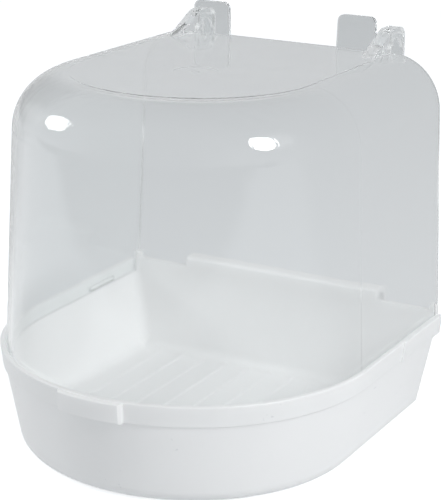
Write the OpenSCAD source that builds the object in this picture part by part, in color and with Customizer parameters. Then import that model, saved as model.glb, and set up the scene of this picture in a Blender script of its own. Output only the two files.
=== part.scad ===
// Cage bird bath in two mouldings: a white D-shaped tub, and a clear hood that
// stands on a ledge inside the tub's rim. The flat back is open and stands in
// a cage's doorway: the hood's two hooks hang over the wire above it, and the
// hooked bar on the tub's back wall takes the wire below it.
// Z = 0 is the underside. X = 0, Y = 0 is the centre of the round front's arc,
// and +Y runs to the open back. Sizes are in millimetres.

/* [Bath] */
// Width over the rim, which is twice the radius of the round front
bath_w = 140; // [120:1:170]
// Length of the straight sides, from the round front to the hood's open back
side_len = 70; // [55:1:90]
// Height of the tub up to its rim
tub_h = 38.5; // [34:0.5:50]
// Height of the hood's roof above the rim
hood_rise = 97.5; // [70:0.5:130]

/* [Tub walls] */
// How much lower the ledge that carries the hood lies than the rim
ledge_depth = 5.2; // [4:0.1:8]
// Height of the rim band, seen from outside
rim_h = 7.7; // [7:0.1:12]
// Thickness of the rim band at its top edge
rim_wall = 1.7; // [1.4:0.1:2.5]
// How far the rim band draws in towards its lower edge
rim_taper = 0.9; // [0:0.1:1]
// How much thicker the band is along the straight sides, behind its step
side_step = 0.5; // [0.2:0.05:1]
// Distance of the band's step behind the arc's centre
side_step_y = 32; // [5:1:40]
// How far the wall under the rim band stands in from it
rim_step = 0.7; // [0.3:0.1:1.5]
// Width of the ledge
ledge_w = 1.9; // [1.5:0.1:2.5]
// How far the wall draws in from the rim band to the underside
wall_taper = 6; // [2:0.1:9]
// Thickness of the wall at the floor
wall_t = 1.9; // [1.4:0.1:3]
// Thickness of the floor
floor_t = 1.8; // [1.4:0.1:3]
// Radius of the rounded edge between wall and underside
foot_round = 6; // [4:0.5:9]

/* [Back wall] */
// How far the back wall's outer face stands in from the hood's open back
back_inset = 0.4; // [0.2:0.1:3]
// How far the back wall draws in from its top to the underside
back_taper = 1.2; // [0.5:0.1:5]
// Thickness of the back wall
back_t = 2; // [1.4:0.1:3]
// Radius of the two upright back corners
corner_round = 5.5; // [4:0.5:10]
// How far the ends of the rim band stand in from the hood's open back
rim_inset = 2.3; // [1.5:0.1:4]
// Height of the back wall above the rim
back_rise = 0.7; // [0.5:0.1:2.5]
// Height of the two corner posts above the rim
post_rise = 3.3; // [3:0.1:6]
// Width of a corner post
post_w = 3.8; // [2:0.1:6]
// Depth of a corner post, from the open back forwards
post_t = 2.2; // [1.4:0.1:3]

/* [Hooked bar] */
// Length of the bar along the back wall
bar_len = 83.6; // [40:0.1:100]
// Height of the bar above the rim
bar_rise = 4.8; // [3.5:0.1:8]
// Gap in the bar for the cage's wire
bar_gap = 6; // [4.5:0.1:8]
// Thickness of the bar
bar_t = 1.8; // [1.4:0.1:2.5]
// How far the bar's back leg reaches down from the bar's top
bar_drop = 9; // [7:0.1:14]

/* [Front tab and ribs] */
// Width of the finger tab on the rim, along the front
tab_w = 25.2; // [16:0.2:40]
// How far the finger tab stands out of the rim
tab_out = 1.9; // [1:0.1:4]
// Number of floor ribs on each side of the middle one
rib_pairs = 5; // [1:1:5]
// Distance from rib to rib
rib_pitch = 10.2; // [6:0.1:10.4]
// Height of a floor rib
rib_h = 0.45; // [0.3:0.05:0.8]
// Radius of a floor rib's crown
rib_r = 0.8; // [0.7:0.05:1.2]

/* [Hood] */
// Thickness of the hood
hood_wall = 1.6; // [1.2:0.1:2.4]
// Gap between the hood and the rim band around it
hood_gap = 0.4; // [0.2:0.05:0.8]
// Draft of the hood's sides, in degrees
hood_draft = 2.6; // [0.5:0.1:4]
// Radius of the rounded edge of the roof
roof_round = 20; // [10:0.5:28]
// Radius of the round moulding mark in the middle of the roof
gate_r = 8; // [4:0.5:12]

/* [Cage hooks] */
// Distance from the hood's middle to the inner edge of a tab's foot
hook_tab_x = 22.8; // [10:0.1:26]
// Width of an upright tab at its foot
hook_tab_w = 15.9; // [10:0.1:20]
// How far each edge of a tab leans in over its height
hook_tab_lean = 0.4; // [0:0.1:1]
// Height of an upright tab above the roof
hook_tab_h = 13; // [10:0.1:18]
// Thickness of an upright tab
hook_tab_t = 1.6; // [1.4:0.1:3]
// How far the tabs stand in from the hood's open back
hook_tab_inset = 2.1; // [0.4:0.1:4]
// Width of a hook
hook_w = 5; // [4.5:0.1:8]
// Height of a hook above the roof
hook_rise = 8.1; // [7.5:0.1:12]
// Length of a hook's ramp along the roof
hook_ramp = 14.8; // [8:0.1:18]
// Gap in a hook for the cage's wire
hook_gap = 12.2; // [8:0.1:14]
// How far a hook's nose reaches below the top of the roof
hook_drop = 6.5; // [4:0.1:12]
// Thickness of a hook's nose and skin
hook_t = 1.8; // [1.4:0.1:2.4]

/* [Snap lugs] */
// Length of a side lug, along the hood's edge
lug_len = 17.4; // [6:0.1:20]
// Distance of the side lugs behind the arc's centre
lug_y = 42.3; // [20:0.1:45]
// Length of the front lug
front_lug_len = 5; // [4:0.5:10]
// Height of a lug
lug_h = 2.4; // [1.5:0.1:2.6]
// How far a lug stands out of the hood
lug_out = 0.85; // [0.6:0.05:1]
// Clearance around a lug in its pocket
lug_gap = 0.3; // [0.2:0.05:0.5]

/* [Hidden] */
$fn = 96;
far = 400;          // reach of a cutter past the part
lap = 0.5;          // depth by which joined shapes run into each other
front_r = bath_w / 2;

// Tub: radii of the front's arc, which are also half widths of the sides
rim_low_z = tub_h - rim_h;
ledge_z = tub_h - ledge_depth;
rim_low_r = front_r - rim_taper;
rim_in_r = front_r - rim_wall;
ledge_in_r = rim_in_r - ledge_w;
wall_slope = wall_taper / rim_low_z;
wall_top_r = rim_low_r - rim_step;
wall_foot_r = wall_top_r - wall_taper;
inner_foot_r = wall_foot_r + wall_slope * floor_t - wall_t;
inner_slope = (ledge_in_r - inner_foot_r) / (ledge_z - floor_t);
floor_round = foot_round - wall_t;

// Back: places along Y
back_out_y = side_len - back_inset;
back_slope = back_taper / rim_low_z;
back_foot_y = back_out_y - back_taper;
rim_back_y = side_len - rim_inset;
back_top_z = tub_h + back_rise;
post_top_z = tub_h + post_rise;
inner_corner_round = corner_round - back_t;

// Hood
hood_low_r = rim_in_r - hood_gap;
hood_slope = tan(hood_draft);
roof_z = tub_h + hood_rise;
post_out_x = hood_low_r - hood_slope * (post_top_z - ledge_z) + lap / 2;
wall_out_x = post_out_x - hood_wall - lap;
hook_x = hook_tab_x + hook_tab_w - lap;
hook_back = hook_gap + hook_t;
hook_round = 4.5;

// 2D: the sliver between a corner of a shape and its rounding. The corner is
// at c, and its two edges leave it at the angles a and b, less than 180 apart.
module corner_sliver(c, a, b, r) {
    half = (b - a) / 2;
    reach = r / tan(half);
    ua = [cos(a), sin(a)];
    ub = [cos(b), sin(b)];
    na = [-sin(a), cos(a)];
    nb = [sin(b), -cos(b)];
    mid = c + ua * reach + na * r;
    out = 0.3;              // how far the sliver stands out of the shape, to cut clean
    difference() {
        polygon([c + ua * reach - na * out, mid, c + ub * reach - nb * out,
                 c - (ua + ub) * out / sin(2 * half)]);
        translate(mid) circle(r);
    }
}

// A half section, turned round the front and drawn back along the sides
module d_sweep(length) {
    rotate([0, 0, 180]) rotate_extrude(angle = 180) children();
    translate([0, length, 0]) rotate([90, 0, 0]) linear_extrude(length) {
        children();
        mirror([1, 0]) children();
    }
}

// A section in Y and Z, drawn along X and centred on the middle
module along_x(length) {
    translate([-length / 2, 0, 0]) rotate([90, 0, 90]) linear_extrude(length) children();
}

module both_sides() {
    children();
    mirror([1, 0, 0]) children();
}

// A drafted D-shaped block with its lower edge and its two back corners
// rounded: the tub's outside, and again its hollow. Its sides and its back
// lean out by side_slope and back_lean for each millimetre of height.
module basin_block(foot_z, foot_r, foot_y, side_slope, back_lean, top_z, edge_r, corner_r) {
    rise = top_z - foot_z;
    side_angle = atan(side_slope);
    back_angle = atan(back_lean);
    // The upright corner leans with both walls: its rounding is a cylinder
    // along the line where they meet, in axes whose x is the side's normal.
    tilt = -atan(back_lean * cos(side_angle));
    skew = sin(side_angle) * sin(back_angle);
    past = far / 8;
    length = 2 * past;
    difference() {
        d_sweep(foot_y + back_lean * rise + lap) difference() {
            polygon([[0, foot_z], [foot_r, foot_z],
                     [foot_r + side_slope * rise, top_z], [0, top_z]]);
            corner_sliver([foot_r, foot_z], 90 - side_angle, 180, edge_r);
        }
        along_x(far) {
            polygon([[foot_y - back_lean * past, foot_z - past], [foot_y + far, foot_z - past],
                     [foot_y + far, top_z + past], [foot_y + back_lean * (rise + past), top_z + past]]);
            corner_sliver([foot_y, foot_z], 90 - back_angle, 180, edge_r);
        }
        both_sides() translate([foot_r, foot_y, foot_z]) rotate([tilt, side_angle, 0])
            translate([0, 0, -past / 2]) linear_extrude(length)
                corner_sliver([0, 0], 180 - asin(skew), 270, corner_r);
    }
}

module tub_outside(top_z) {
    basin_block(0, wall_foot_r, back_foot_y, wall_slope, back_slope, top_z, foot_round, corner_round);
}

module tub_hollow(top_z) {
    foot_y = back_foot_y + back_slope * floor_t - back_t;
    basin_block(floor_t, inner_foot_r, foot_y, inner_slope, back_slope, top_z,
                floor_round, inner_corner_round);
}

// Half section of the band round the rim, with the ledge's outer part in its
// foot. With extra above 0 the band is that much thicker on the outside.
module rim_section(extra) {
    edge_r = 0.5;
    lean = atan(rim_taper / rim_h);
    low_r = rim_low_r + extra;
    top_r = front_r + extra;
    ledge_mid_r = ledge_in_r + ledge_w / 2;
    difference() {
        polygon([[ledge_mid_r, rim_low_z], [low_r, rim_low_z], [top_r, tub_h],
                 [rim_in_r, tub_h], [rim_in_r, ledge_z], [ledge_mid_r, ledge_z]]);
        corner_sliver([low_r, rim_low_z], 90 - lean, 180, edge_r);
        corner_sliver([top_r, tub_h], 180, 270 - lean, edge_r);
    }
}

module rim_band() {
    d_sweep(rim_back_y) rim_section(0);
    both_sides() translate([0, rim_back_y, 0]) rotate([90, 0, 0])
        linear_extrude(rim_back_y - side_step_y) rim_section(side_step);
}

// The back wall above the ledge, and the posts at its ends that stand under
// the hood's notched back corners
module back_wall_top() {
    intersection() {
        difference() {
            tub_outside(back_top_z);
            tub_hollow(back_top_z + lap);
        }
        translate([-wall_out_x, side_len / 2, ledge_z - lap]) cube([2 * wall_out_x, side_len, tub_h]);
    }
    both_sides() translate([post_out_x - post_w, side_len - post_t, rim_low_z])
        cube([post_w, post_t, post_top_z - rim_low_z]);
}

// The hooked bar: an upside-down channel whose front leg is the back wall
module wire_bar() {
    front_y = back_out_y - bar_t;
    gap_y = back_out_y + bar_gap;
    back_y = gap_y + bar_t;
    top_z = tub_h + bar_rise;
    gap_top_z = top_z - bar_t;
    front_edge_r = 1.2;
    back_edge_r = 4;
    gap_r = bar_gap / 2;
    along_x(bar_len) difference() {
        polygon([[front_y, ledge_z - lap], [back_y, ledge_z - lap], [back_y, top_z], [front_y, top_z]]);
        corner_sliver([front_y, top_z], 270, 360, front_edge_r);
        corner_sliver([back_y, top_z], 180, 270, back_edge_r);
        // the channel's gap, with a round top
        translate([back_out_y, 0]) square([bar_gap, gap_top_z - gap_r]);
        translate([back_out_y + gap_r, gap_top_z - gap_r]) circle(gap_r);
        translate([back_out_y + lap, top_z - bar_drop - far]) square([far, far]);
    }
}

module finger_tab() {
    half_angle = asin(tab_w / 2 / front_r);
    inset_z = 0.3;          // below the rim's top, and above the band's lower edge
    lean = 0.3;
    edge_r = 0.5;
    bevel = 1.3;            // at both ends
    low_z = rim_low_z + inset_z;
    top_z = tub_h - inset_z;
    out_r = front_r + tab_out;
    angle = atan(lean / (top_z - low_z));
    difference() {
        rotate([0, 0, 270 - half_angle]) rotate_extrude(angle = 2 * half_angle) difference() {
            polygon([[rim_low_r - lap, low_z], [out_r - lean, low_z], [out_r, top_z], [rim_in_r + lap, top_z]]);
            corner_sliver([out_r, top_z], 180, 270 - angle, edge_r);
            corner_sliver([out_r - lean, low_z], 90 - angle, 180, edge_r);
        }
        for (side = [-1, 1]) rotate([0, 0, 270 + side * half_angle]) linear_extrude(far)
            polygon([[out_r - 2 * bevel, side * bevel], [out_r + bevel, -2 * side * bevel],
                     [out_r + bevel, side * bevel]]);
    }
}

module floor_ribs() {
    flat_r = inner_foot_r - floor_round;
    into_wall = 2.5;        // how far the ribs run into the rounding at the back wall
    back_y = back_foot_y - back_t - floor_round + into_wall;
    for (i = [-rib_pairs : rib_pairs]) {
        reach = sqrt(max(1, flat_r * flat_r - pow(i * rib_pitch, 2)));
        translate([i * rib_pitch, back_y, floor_t + rib_h - rib_r]) rotate([90, 0, 0])
            cylinder(h = back_y + reach, r = rib_r);
    }
}

// Room for the snap lugs, inside the rim band
module lug_pockets() {
    depth = lug_out - hood_gap + lug_gap / 2;
    both_sides() translate([rim_in_r - lap, lug_y - lug_len / 2 - lug_gap, ledge_z])
        cube([lap + depth, lug_len + 2 * lug_gap, lug_h + 2 * lug_gap]);
    turn = asin((front_lug_len / 2 + lug_gap) / rim_in_r);
    rotate([0, 0, 270 - turn]) rotate_extrude(angle = 2 * turn)
        translate([rim_in_r - lap, ledge_z]) square([lap + depth, lug_h + 2 * lug_gap]);
}

module tub() {
    color("white") difference() {
        union() {
            difference() {
                tub_outside(ledge_z);
                tub_hollow(ledge_z + lap);
            }
            rim_band();
            back_wall_top();
            wire_bar();
            finger_tab();
            floor_ribs();
        }
        lug_pockets();
    }
}

// Half section of the shell's outside, or of its inside with shrink above 0
module hood_section(shrink) {
    low_r = hood_low_r - shrink;
    top_z = roof_z - shrink;
    low_z = shrink > 0 ? ledge_z - lap : ledge_z;
    lean_low_r = low_r - hood_slope * (low_z - ledge_z);
    top_r = low_r - hood_slope * (top_z - ledge_z);
    difference() {
        polygon([[0, low_z], [lean_low_r, low_z], [top_r, top_z], [0, top_z]]);
        corner_sliver([top_r, top_z], 180, 270 + hood_draft, roof_round - shrink);
    }
}

module hood_shell() {
    difference() {
        d_sweep(side_len) hood_section(0);
        d_sweep(side_len + lap) hood_section(hood_wall);
        // notches over the tub's corner posts
        translate([-far / 2, side_len - post_t - lug_gap, 0])
            cube([far, far, post_top_z + lug_gap]);
    }
}

module upright_tab() {
    corner_r = 2.5;
    angle = atan(hook_tab_lean / hook_tab_h);
    translate([hook_tab_x, side_len - hook_tab_inset, roof_z]) rotate([90, 0, 0])
        linear_extrude(hook_tab_t) difference() {
            polygon([[0, 0], [0, -hood_wall], [hook_tab_w, -hood_wall], [hook_tab_w, 0],
                     [hook_tab_w - hook_tab_lean, hook_tab_h], [hook_tab_lean, hook_tab_h]]);
            corner_sliver([hook_tab_lean, hook_tab_h], 270 - angle, 360, corner_r);
            corner_sliver([hook_tab_w - hook_tab_lean, hook_tab_h], 180, 270 + angle, corner_r);
        }
}

// Side view of a hook, in Y and Z from the back edge of the roof
module hook_outline() {
    ramp_end = 1.8;         // where the ramp would meet the top, behind the roof's edge
    top_round = 8;
    ramp_angle = atan(hook_rise / (hook_ramp + ramp_end));
    difference() {
        polygon([[-hook_ramp, 0], [-hook_ramp, -hood_wall], [hook_back, -hood_wall],
                 [hook_back, hook_rise], [ramp_end, hook_rise]]);
        corner_sliver([ramp_end, hook_rise], 180 + ramp_angle, 360, top_round);
        corner_sliver([hook_back, hook_rise], 180, 270, hook_round);
    }
    translate([hook_gap, -hook_drop]) square([hook_t, hook_drop + lap]);
}

// The hollow between a hook's two side skins, open below
module hook_hollow() {
    web = 2;                // thickness left standing behind the roof's edge
    top = hook_rise - hook_t;
    difference() {
        translate([web, -hood_wall]) square([hook_gap - web, hood_wall + top]);
        corner_sliver([hook_gap, top], 180, 270, hook_round - hook_t);
    }
}

// A hook: a hollow ramp over the roof's edge, with a nose that hangs behind
// the cage's wire
module cage_hook() {
    side_t = 1.2;
    notch_top = 4.6;
    notch_r = hook_gap / 2;
    translate([hook_x, side_len, roof_z]) rotate([90, 0, 90]) difference() {
        linear_extrude(hook_w) hook_outline();
        translate([0, 0, side_t]) linear_extrude(hook_w - 2 * side_t) hook_hollow();
        // the notch for the wire, through both side skins
        translate([0, 0, -lap]) linear_extrude(hook_w + 2 * lap) {
            translate([0, -far]) square([hook_gap, far + notch_top - notch_r]);
            translate([notch_r, notch_top - notch_r]) circle(notch_r);
        }
    }
}

module snap_lugs() {
    both_sides() translate([0, lug_y + lug_len / 2, 0]) rotate([90, 0, 0]) linear_extrude(lug_len)
        lug_section();
    turn = asin(front_lug_len / 2 / hood_low_r);
    rotate([0, 0, 270 - turn]) rotate_extrude(angle = 2 * turn) lug_section();
}

// A lug's half section: a chamfer below, then upright, then a ramp to the hood
module lug_section() {
    chamfer = 0.3;
    in_r = hood_low_r - hood_wall / 2;
    out_r = hood_low_r + lug_out;
    low_z = ledge_z + lug_gap;
    polygon([[in_r, low_z], [out_r - chamfer, low_z], [out_r, low_z + chamfer],
             [out_r, low_z + lug_h * 3 / 4], [in_r, low_z + lug_h]]);
}

// The round moulding mark, with a small boss left standing in its middle
module gate_mark() {
    depth = 0.12;
    boss_r = 1.5;
    translate([0, 0, roof_z - depth]) difference() {
        cylinder(h = 2 * depth, r = gate_r);
        translate([0, 0, -depth]) cylinder(h = 4 * depth, r = boss_r);
    }
}

module hood() {
    color([0.85, 0.9, 0.93, 0.4]) difference() {
        union() {
            hood_shell();
            both_sides() {
                upright_tab();
                cage_hook();
            }
            snap_lugs();
        }
        gate_mark();
    }
}

tub();
hood();
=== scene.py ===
# %% [markdown]
# A cage bird bath: a white moulded tub with a clear moulded hood standing in its
# rim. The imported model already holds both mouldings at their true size, so this
# lesson leaves their shapes alone and gives them what a drawing lacks: the
# plastics, the marks that moulding and use leave, and a small studio round them.
# The scene is in metres, as the model is.

# %% Load the model
import math

import bmesh
import bpy
from mathutils import Matrix, Vector


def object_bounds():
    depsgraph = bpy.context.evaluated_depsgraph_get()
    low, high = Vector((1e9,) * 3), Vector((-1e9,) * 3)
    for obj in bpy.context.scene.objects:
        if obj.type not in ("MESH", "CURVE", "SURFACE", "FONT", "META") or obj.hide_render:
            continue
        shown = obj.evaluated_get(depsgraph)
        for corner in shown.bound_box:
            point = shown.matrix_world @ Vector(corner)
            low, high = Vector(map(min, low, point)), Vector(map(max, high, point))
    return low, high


MM = 0.001

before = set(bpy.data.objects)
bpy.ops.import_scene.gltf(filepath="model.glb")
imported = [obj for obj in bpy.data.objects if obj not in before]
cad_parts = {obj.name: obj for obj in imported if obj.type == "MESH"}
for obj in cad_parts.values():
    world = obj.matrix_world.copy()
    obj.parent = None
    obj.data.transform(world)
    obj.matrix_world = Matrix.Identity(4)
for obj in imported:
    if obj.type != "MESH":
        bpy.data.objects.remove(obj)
cad_low, cad_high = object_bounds()
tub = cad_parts["tub"]
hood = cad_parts["hood"]
print("model:", [round(v / MM, 1) for v in cad_high - cad_low], "mm")

# %% [markdown]
# The camera comes first, because every later choice is judged through it. A
# long lens stands about 0.6 metres away, to the right of the front and above the
# bath. Its place, its right-hand direction and the way it looks are written down
# as measured, so the horizon keeps the slight tilt that it has in the picture.

# %% Camera
IMAGE = (441, 500)
SENSOR_MM = 36.0
FOCAL_PIXELS = 1702.3
NEAREST_SEEN = 0.01
EYE = Vector((0.2881, -0.5092, 0.2527))
RIGHT = Vector((0.87612, 0.48188, 0.01406))
AHEAD = Vector((-0.45655, 0.83871, -0.29686))


def turned(right, ahead, place):
    """A matrix whose X is right and whose -Z looks ahead."""
    ahead = ahead.normalized()
    up = right.cross(ahead).normalized()
    right = ahead.cross(up)
    turn = Matrix((right, up, -ahead)).transposed().to_4x4()
    return Matrix.Translation(place) @ turn


camera_data = bpy.data.cameras.new("camera")
camera_data.sensor_width = SENSOR_MM
camera_data.lens = FOCAL_PIXELS / max(IMAGE) * SENSOR_MM
camera_data.clip_start = NEAREST_SEEN
camera = bpy.data.objects.new("camera", camera_data)
camera.matrix_world = turned(RIGHT, AHEAD, EYE)
bpy.context.scene.collection.objects.link(camera)
bpy.context.scene.camera = camera
print("lens:", round(camera_data.lens, 1), "mm")

# %% [markdown]
# Three helpers serve every material. Colours are written as the hex values that a
# paint chart uses, and the renderer wants them linear: the sRGB curve is straight
# near black and a power above. A node is added, set and wired in one call, so
# that a material reads as a short list.


# %% Helpers for materials
def linear(hex_colour):
    """An sRGB hex colour as the linear values that a node takes."""
    out = []
    for i in (0, 2, 4):
        c = int(hex_colour.lstrip("#")[i:i + 2], 16) / 255
        out.append(c / 12.92 if c <= 0.04045 else ((c + 0.055) / 1.055) ** 2.4)
    return (*out, 1.0)


def node(tree, kind, settings=None, inputs=None):
    """Add a node, set its properties, then fill or link its sockets."""
    n = tree.nodes.new("ShaderNode" + kind)
    for name, value in (settings or {}).items():
        setattr(n, name, value)
    for name, value in (inputs or {}).items():
        socket = n.inputs[name]
        if isinstance(value, bpy.types.NodeSocket):
            tree.links.new(value, socket)
        else:
            socket.default_value = value
    return n


def new_material(name):
    """An empty material: its node tree and its output node."""
    material = bpy.data.materials.new(name)
    material.use_nodes = True
    tree = material.node_tree
    tree.nodes.clear()
    return material, tree, node(tree, "OutputMaterial")


print("mid grey #808080 is", round(linear("#808080")[0], 3), "in linear light")

# %% [markdown]
# The tub is white polystyrene, moulded with a gloss. Up close such a wall is not
# perfectly flat: it sinks by a few hundredths of a millimetre over a centimetre
# or two, which bends reflections, and handling leaves fine hazy patches. Both are
# far too small to model, so noise with sizes in millimetres drives the bump and
# the roughness. A smooth step between two roughnesses keeps the patches free of
# outlines.

# %% Gloss of the white plastic
SMOOTH = {"interpolation_type": "SMOOTHSTEP"}
SINK_ACROSS, SINK_DEEP = 18, 0.02
HAZE_ACROSS, HAZE_FROM, HAZE_TO = 26, 0.2, 0.8
GLOSSY, HAZY = 0.29, 0.40


def per_mm(size_mm):
    """The Scale of a noise whose features are about this many millimetres."""
    return 1.0 / (size_mm * MM)


white_plastic, tree, output = new_material("moulded_white_polystyrene")
place = node(tree, "TexCoord").outputs["Object"]
sink = node(tree, "TexNoise", inputs={
    "Vector": place, "Scale": per_mm(SINK_ACROSS), "Detail": 0.0})
waves = node(tree, "Bump", inputs={
    "Height": sink.outputs["Fac"], "Strength": 1.0, "Distance": SINK_DEEP * MM})
haze = node(tree, "TexNoise", inputs={
    "Vector": place, "Scale": per_mm(HAZE_ACROSS), "Detail": 2.0})
gloss = node(tree, "MapRange", SMOOTH, {
    "Value": haze.outputs["Fac"], "From Min": HAZE_FROM, "From Max": HAZE_TO,
    "To Min": GLOSSY, "To Max": HAZY})
print("white plastic: sink marks", SINK_ACROSS, "mm across, haze", HAZE_ACROSS, "mm across")

# %% [markdown]
# A few faint grey rubs, each a few millimetres long and about one wide, are what
# handling leaves in the colour. They are the peaks of a fine noise that is drawn
# out along one slanted direction. A coarser noise lifts it above the threshold
# where the tub is handled most, so the rubs come in groups. The colour sockets of
# a Mix node share their names with its other sockets, so they go by number.

# %% Rubs on the white plastic
RUB_WIDE, RUB_DRAWN_OUT = 1.2, 4
RUB_SLANT = (0.4, 0.5, 0.6)
RUB_FROM, RUB_TO, RUB_STRENGTH = 0.82, 0.92, 0.35
HANDLED_ACROSS, HANDLED_FROM, HANDLED_TO, HANDLED_LIFT = 16, 0.58, 0.72, 0.16
MIX_SHARE, MIX_FIRST, MIX_SECOND = 0, 6, 7

drawn_out = node(tree, "Mapping", inputs={
    "Vector": place, "Rotation": RUB_SLANT, "Scale": (1.0, 1 / RUB_DRAWN_OUT, 1.0)})
rubs = node(tree, "TexNoise", inputs={
    "Vector": drawn_out.outputs["Vector"], "Scale": per_mm(RUB_WIDE), "Detail": 1.0})
handled = node(tree, "TexNoise", inputs={
    "Vector": place, "Scale": per_mm(HANDLED_ACROSS), "Detail": 0.0})
lifted = node(tree, "MapRange", SMOOTH, {
    "Value": handled.outputs["Fac"], "From Min": HANDLED_FROM, "From Max": HANDLED_TO,
    "To Max": HANDLED_LIFT})
marks = node(tree, "Math", {"operation": "ADD"}, {
    0: rubs.outputs["Fac"], 1: lifted.outputs["Result"]})
rubbed = node(tree, "MapRange", SMOOTH, {
    "Value": marks.outputs["Value"], "From Min": RUB_FROM, "From Max": RUB_TO,
    "To Max": RUB_STRENGTH})
colour = node(tree, "Mix", {"data_type": "RGBA"}, {
    MIX_SHARE: rubbed.outputs["Result"], MIX_FIRST: linear("#F5F5F5"),
    MIX_SECOND: linear("#BFC1C6")})
print("rubs:", RUB_WIDE, "mm wide and", RUB_WIDE * RUB_DRAWN_OUT, "mm long")

# %% [markdown]
# White polystyrene is not quite opaque. Light spreads a few millimetres inside it
# and comes out again, also on the far side of a wall under two millimetres thick.
# That softens the floor's ribs and lightens the inner walls, and subsurface
# scattering does the same.

# %% Body of the white plastic
LIGHT_SPREAD, SPREAD_SHARE = 3, 0.9

shader = node(tree, "BsdfPrincipled", inputs={
    "Base Color": colour.outputs[2], "Roughness": gloss.outputs["Result"], "IOR": 1.55,
    "Subsurface Weight": SPREAD_SHARE, "Subsurface Radius": (1.0, 1.0, 1.0),
    "Subsurface Scale": LIGHT_SPREAD * MM, "Normal": waves.outputs["Normal"]})
tree.links.new(shader.outputs["BSDF"], output.inputs["Surface"])
tub.data.materials[0] = white_plastic
print("light spreads over", LIGHT_SPREAD, "mm in the white plastic")

# %% [markdown]
# The hood is clear polystyrene, and a clear moulding is given away by what bends
# light in it. The melt froze unevenly, which leaves a slow waviness all over. At
# two places of the shoulder, where the melt was squeezed round the turn, there is
# a finer ripple too, which breaks up the highlights. Two noises make two bumps,
# and the finer one fades out with the distance from those places.

# %% Waves in the clear plastic
WAVES_ACROSS, WAVES_DEEP = 22, 0.03
RIPPLE_ACROSS, RIPPLE_DEEP = 3.5, 0.1
RIPPLE_FULL, RIPPLE_GONE = 7, 20
LEFT_RIPPLE = (-18 * MM, -59 * MM, 126 * MM)
RIGHT_RIPPLE = (46 * MM, -40 * MM, 125 * MM)

clear_plastic, tree, output = new_material("moulded_clear_polystyrene")
place = node(tree, "TexCoord").outputs["Object"]
to_left = node(tree, "VectorMath", {"operation": "DISTANCE"}, {
    0: place, 1: LEFT_RIPPLE}).outputs["Value"]
to_right = node(tree, "VectorMath", {"operation": "DISTANCE"}, {
    0: place, 1: RIGHT_RIPPLE}).outputs["Value"]
nearer = node(tree, "Math", {"operation": "MINIMUM"}, {0: to_left, 1: to_right})
fading = node(tree, "MapRange", SMOOTH, {
    "Value": nearer.outputs["Value"], "From Min": RIPPLE_FULL * MM,
    "From Max": RIPPLE_GONE * MM, "To Min": 1.0, "To Max": 0.0})
ripple = node(tree, "TexNoise", inputs={
    "Vector": place, "Scale": per_mm(RIPPLE_ACROSS), "Detail": 3.0})
uneven = node(tree, "Math", {"operation": "MULTIPLY"}, {
    0: ripple.outputs["Fac"], 1: fading.outputs["Result"]})
fine = node(tree, "Bump", inputs={
    "Height": uneven.outputs["Value"], "Strength": 1.0, "Distance": RIPPLE_DEEP * MM})
flow = node(tree, "TexNoise", inputs={
    "Vector": place, "Scale": per_mm(WAVES_ACROSS), "Detail": 1.0})
waves = node(tree, "Bump", inputs={
    "Height": flow.outputs["Fac"], "Strength": 1.0, "Distance": WAVES_DEEP * MM,
    "Normal": fine.outputs["Normal"]})
print("clear plastic: waves", WAVES_ACROSS, "mm across, ripple", RIPPLE_ACROSS, "mm across")

# %% [markdown]
# Polystyrene is the most glassy of the cheap clear plastics: its index is 1.57.
# The polished mould and years of wiping leave a trace of haze, which takes the
# sharpness off all that is seen through it. Each face also scatters two
# hundredths of the light, which is why thick edges look pale and not black. A
# glass shader would throw a dark shadow, because light has to find its way
# through by chance. The shader is therefore swapped for a plain clear one on the
# two kinds of ray that carry light to other surfaces.

# %% Body of the clear plastic
CLEAR_TINT = "#FDFEFE"
WIPED_HAZE, CLEAR_SHARE = 0.05, 0.98

shader = node(tree, "BsdfPrincipled", inputs={
    "Base Color": linear(CLEAR_TINT), "Roughness": WIPED_HAZE, "IOR": 1.57,
    "Transmission Weight": CLEAR_SHARE, "Normal": waves.outputs["Normal"]})
path = node(tree, "LightPath")
open_to_light = node(tree, "BsdfTransparent", inputs={"Color": linear(CLEAR_TINT)})
for_lamps = node(tree, "MixShader", inputs={"Fac": path.outputs["Is Shadow Ray"]})
tree.links.new(shader.outputs["BSDF"], for_lamps.inputs[1])
tree.links.new(open_to_light.outputs["BSDF"], for_lamps.inputs[2])
for_room = node(tree, "MixShader", inputs={"Fac": path.outputs["Is Diffuse Ray"]})
tree.links.new(for_lamps.outputs["Shader"], for_room.inputs[1])
tree.links.new(open_to_light.outputs["BSDF"], for_room.inputs[2])
tree.links.new(for_room.outputs["Shader"], output.inputs["Surface"])
hood.data.materials[0] = clear_plastic
print("haze", WIPED_HAZE, "and", CLEAR_SHARE, "of the light goes through each face")

# %% [markdown]
# The bath stands on a sheet of paper that runs on as far as the camera sees. One
# flat face at the height of the bath's underside is enough, because all else that
# the paper does is done by its material.

# %% Floor
FLOOR_REACH = 4.0

floor_mesh = bpy.data.meshes.new("floor")
bm = bmesh.new()
bmesh.ops.create_grid(bm, x_segments=1, y_segments=1, size=FLOOR_REACH)
bm.to_mesh(floor_mesh)
bm.free()
floor = bpy.data.objects.new("floor", floor_mesh)
floor.location = (0, 0, cad_low.z)
bpy.context.scene.collection.objects.link(floor)
print("floor at", round(floor.location.z / MM, 2), "mm")

# %% [markdown]
# The camera has to see the paper white, and the light on the bath must not pay
# for that, so the paper is pale grey and glows a little for camera rays only. It
# still takes the light and the shadow of the bath, because the glow is added to
# its diffuse colour. Rays that come straight through the hood see the paper
# nearly as it is lit: that grey is what lets a clear wall be seen at all. So the
# material has to tell the kinds of ray apart, and the room will ask the same.

# %% Paper as it is lit
CAMERA_GLOW, GLASS_GLOW, BOUNCE_GLOW = 0.7, 0.18, 0.15


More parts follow.
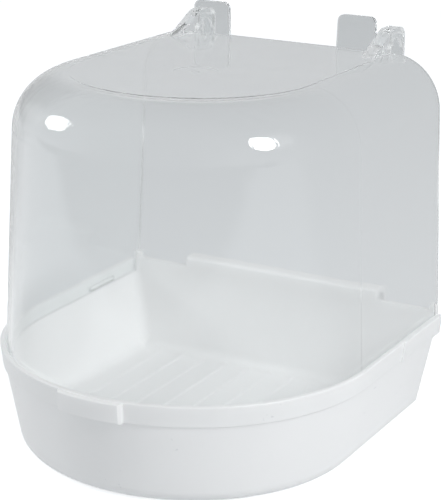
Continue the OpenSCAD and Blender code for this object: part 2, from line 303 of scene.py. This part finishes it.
def ray_kinds(tree):
    """Light Path, with 1 for rays in or off glossy things, and 1 for mirrored ones."""
    path = node(tree, "LightPath")
    glassy = node(tree, "Math", {"operation": "MAXIMUM"}, {
        0: path.outputs["Is Transmission Ray"],
        1: path.outputs["Is Glossy Ray"]}).outputs["Value"]
    once = node(tree, "Math", {"operation": "MINIMUM"}, {
        0: path.outputs["Glossy Depth"], 1: 1.0}).outputs["Value"]
    mirrored = node(tree, "Math", {"operation": "MULTIPLY"}, {
        0: glassy, 1: once}).outputs["Value"]
    return path, glassy, mirrored


paper, tree, output = new_material("pale_paper_floor")
path, glassy, mirrored = ray_kinds(tree)
glow = 0.0
for ray, strength in ((path.outputs["Is Camera Ray"], CAMERA_GLOW), (glassy, GLASS_GLOW),
                      (path.outputs["Is Diffuse Ray"], BOUNCE_GLOW)):
    glow = node(tree, "Math", {"operation": "MULTIPLY_ADD"}, {
        0: ray, 1: strength, 2: glow}).outputs["Value"]
matt = node(tree, "BsdfDiffuse", inputs={"Color": linear("#CED1D3")})
lift = node(tree, "Emission", inputs={"Color": linear("#FDFEFF"), "Strength": glow})
lit = node(tree, "AddShader")
tree.links.new(matt.outputs["BSDF"], lit.inputs[0])
tree.links.new(lift.outputs["Emission"], lit.inputs[1])
print("paper: glows by", CAMERA_GLOW, "for the camera and", GLASS_GLOW, "behind glass")

# %% [markdown]
# Rays that were mirrored on their way, by the hood or inside it, see what a
# studio has round the sheet: a bright front, a dark room beyond its front edge,
# and a dark card at the front left, which photographers use to draw the edges of
# clear things. Each is a place on the floor with soft edges, in metres from the
# middle of the bath, and behind the bath the level is that of the backdrop.

# %% Paper as mirrors see it
FRONT_LEVEL, ROOM_LEVEL, CARD_LEVEL, BACK_LEVEL = 0.88, 0.45, 0.5, 0.68
ROOM_EDGE = (-0.37, -0.28)
BACK_EDGE = (0.02, 0.15)
CARD_PLACE, CARD_SIZE, CARD_EDGE = (-0.20, -0.16, 0), (0.10, 0.18, 1), (0.6, 1.1)

place = node(tree, "TexCoord").outputs["Object"]
depth = node(tree, "SeparateXYZ", inputs={"Vector": place}).outputs["Y"]
card = node(tree, "Mapping", {"vector_type": "TEXTURE"}, {
    "Vector": place, "Location": CARD_PLACE, "Scale": CARD_SIZE})
off_card = node(tree, "VectorMath", {"operation": "LENGTH"}, {
    0: card.outputs["Vector"]}).outputs["Value"]
studio = node(tree, "MapRange", SMOOTH, {
    "Value": depth, "From Min": ROOM_EDGE[0], "From Max": ROOM_EDGE[1],
    "To Min": ROOM_LEVEL, "To Max": FRONT_LEVEL}).outputs["Result"]
studio = node(tree, "MapRange", SMOOTH, {
    "Value": off_card, "From Min": CARD_EDGE[0], "From Max": CARD_EDGE[1],
    "To Min": CARD_LEVEL, "To Max": studio}).outputs["Result"]
studio = node(tree, "MapRange", SMOOTH, {
    "Value": depth, "From Min": BACK_EDGE[0], "From Max": BACK_EDGE[1],
    "To Min": studio, "To Max": BACK_LEVEL}).outputs["Result"]
round_about = node(tree, "Emission", inputs={"Color": linear("#FBFDFF"), "Strength": studio})
seen = node(tree, "MixShader", inputs={"Fac": mirrored})
tree.links.new(lit.outputs["Shader"], seen.inputs[1])
tree.links.new(round_about.outputs["Emission"], seen.inputs[2])
tree.links.new(seen.outputs["Shader"], output.inputs["Surface"])
floor_mesh.materials.append(paper)
print("mirrors see", FRONT_LEVEL, "in front,", CARD_LEVEL, "at the card,", BACK_LEVEL, "behind")

# %% [markdown]
# The room is an even, soft tent. The camera sees it white, and rays straight
# through the hood see it as grey as the paper. Mirrored rays see more of the
# studio: bright sides and a dimmer ceiling, with a dark side where the
# photographer stands, the grey backdrop behind the bath, and a dark edge behind
# its left shoulder. Each of these three is a soft patch round one direction of
# the room, so nothing in it depends on where the camera is. A patch has the
# azimuth and elevation of that direction, the angles from it at which the patch
# is still full and at which it ends, all in degrees, and its level.

# %% Directions of the room
PATCHES = (
    (0, 5, 15, 60, 0.55),
    (180, 0, 62, 88, BACK_LEVEL),
    (-118, 14, 8, 26, 0.45),
)


def direction(azimuth, elevation):
    """A unit vector: azimuth 0 is the front, 90 the right side."""
    a, e = math.radians(azimuth), math.radians(elevation)
    return Vector((math.sin(a) * math.cos(e), -math.cos(a) * math.cos(e), math.sin(e)))


for azimuth, elevation, full, end, inside in PATCHES:
    print("patch of", inside, "round", [round(v, 2) for v in direction(azimuth, elevation)])

# %% [markdown]
# The background is a level for each kind of ray. For mirrored rays it starts as a
# blend from the sides to the ceiling by height, and each patch then takes over
# round its own direction.

# %% World
TENT = 0.5
SIDES_LEVEL, CEILING_LEVEL = 0.85, 0.6

world = bpy.data.worlds.new("studio")
bpy.context.scene.world = world
world.use_nodes = True
tree = world.node_tree
tree.nodes.clear()
way = node(tree, "TexCoord").outputs["Generated"]
path, glassy, mirrored = ray_kinds(tree)
height = node(tree, "SeparateXYZ", inputs={"Vector": way}).outputs["Z"]
room = node(tree, "MapRange", inputs={
    "Value": height, "To Min": SIDES_LEVEL, "To Max": CEILING_LEVEL}).outputs["Result"]
for azimuth, elevation, full, end, inside in PATCHES:
    near = node(tree, "VectorMath", {"operation": "DOT_PRODUCT"}, {
        0: way, 1: direction(azimuth, elevation)}).outputs["Value"]
    room = node(tree, "MapRange", SMOOTH, {
        "Value": near, "From Min": math.cos(math.radians(end)),
        "From Max": math.cos(math.radians(full)), "To Min": room,
        "To Max": inside}).outputs["Result"]
straight = node(tree, "MapRange", inputs={
    "Value": glassy, "To Min": TENT, "To Max": BACK_LEVEL}).outputs["Result"]
level = node(tree, "MapRange", inputs={
    "Value": mirrored, "To Min": straight, "To Max": room}).outputs["Result"]
tinted = node(tree, "Background", inputs={"Color": linear("#FAFCFE"), "Strength": level})
white = node(tree, "Background", inputs={"Color": linear("#FFFFFF"), "Strength": 1.0})
sky = node(tree, "MixShader", inputs={"Fac": path.outputs["Is Camera Ray"]})
tree.links.new(tinted.outputs["Background"], sky.inputs[1])
tree.links.new(white.outputs["Background"], sky.inputs[2])
node(tree, "OutputWorld", inputs={"Surface": sky.outputs["Shader"]})
print("tent:", TENT, "for light, and", BACK_LEVEL, "behind glass")

# %% [markdown]
# Two softboxes make the highlights on the shoulder of the hood. Their directions
# were found from the picture: a mirror's normal lies halfway between the way to
# the camera and the way to the lamp. Each is a metre away, and its size is the
# size of its highlight worked back over the curve. The right one is the stronger
# and lights the right and the front of the tub. Rays that wander about in the
# clear plastic don't run into the lamps, because the few that would leave white
# specks in the picture.

# %% Lamps
HOOD_MIDDLE = Vector((0, -0.02, 0.09))
LAMP_DISTANCE = 1.0


def softbox(name, azimuth, elevation, width, height, watts):
    """A soft lamp that looks at the hood from this direction."""
    way = direction(azimuth, elevation)
    lamp = bpy.data.lights.new(name, "AREA")
    lamp.shape = "ELLIPSE"
    lamp.size, lamp.size_y, lamp.energy = width, height, watts
    box = bpy.data.objects.new(name, lamp)
    side = (-way).cross(Vector((0, 0, 1)))
    box.matrix_world = turned(side, -way, HOOD_MIDDLE + way * LAMP_DISTANCE)
    box.visible_transmission = False
    bpy.context.scene.collection.objects.link(box)
    print(name, watts, "W at", [round(v, 2) for v in box.matrix_world.translation])


softbox("left_softbox", -75, 27, 0.36, 0.32, 2.2)
softbox("right_softbox", 76, 32, 0.26, 0.4, 4.4)

# %% [markdown]
# A ray that enters a flat clear wall at a slant runs along inside it, from face
# to face, and may take a hundred turns before it comes out at an edge. One that
# is cut short turns black, and with the usual limit the hooks are full of black
# dashes. A high limit costs little, because few rays go that far.

# %% Light paths
MOST_BOUNCES, MOST_CLEAR_FACES = 1024, 64

cycles = bpy.context.scene.cycles
cycles.max_bounces = MOST_BOUNCES
cycles.glossy_bounces = MOST_BOUNCES
cycles.transmission_bounces = MOST_BOUNCES
cycles.transparent_max_bounces = MOST_CLEAR_FACES
print("bounces:", cycles.max_bounces)

# %% [markdown]
# Standard shows each colour as it was written, which suits an object that is all
# white and clear.

# %% Finish
view = bpy.context.scene.view_settings
view.view_transform = "Standard"
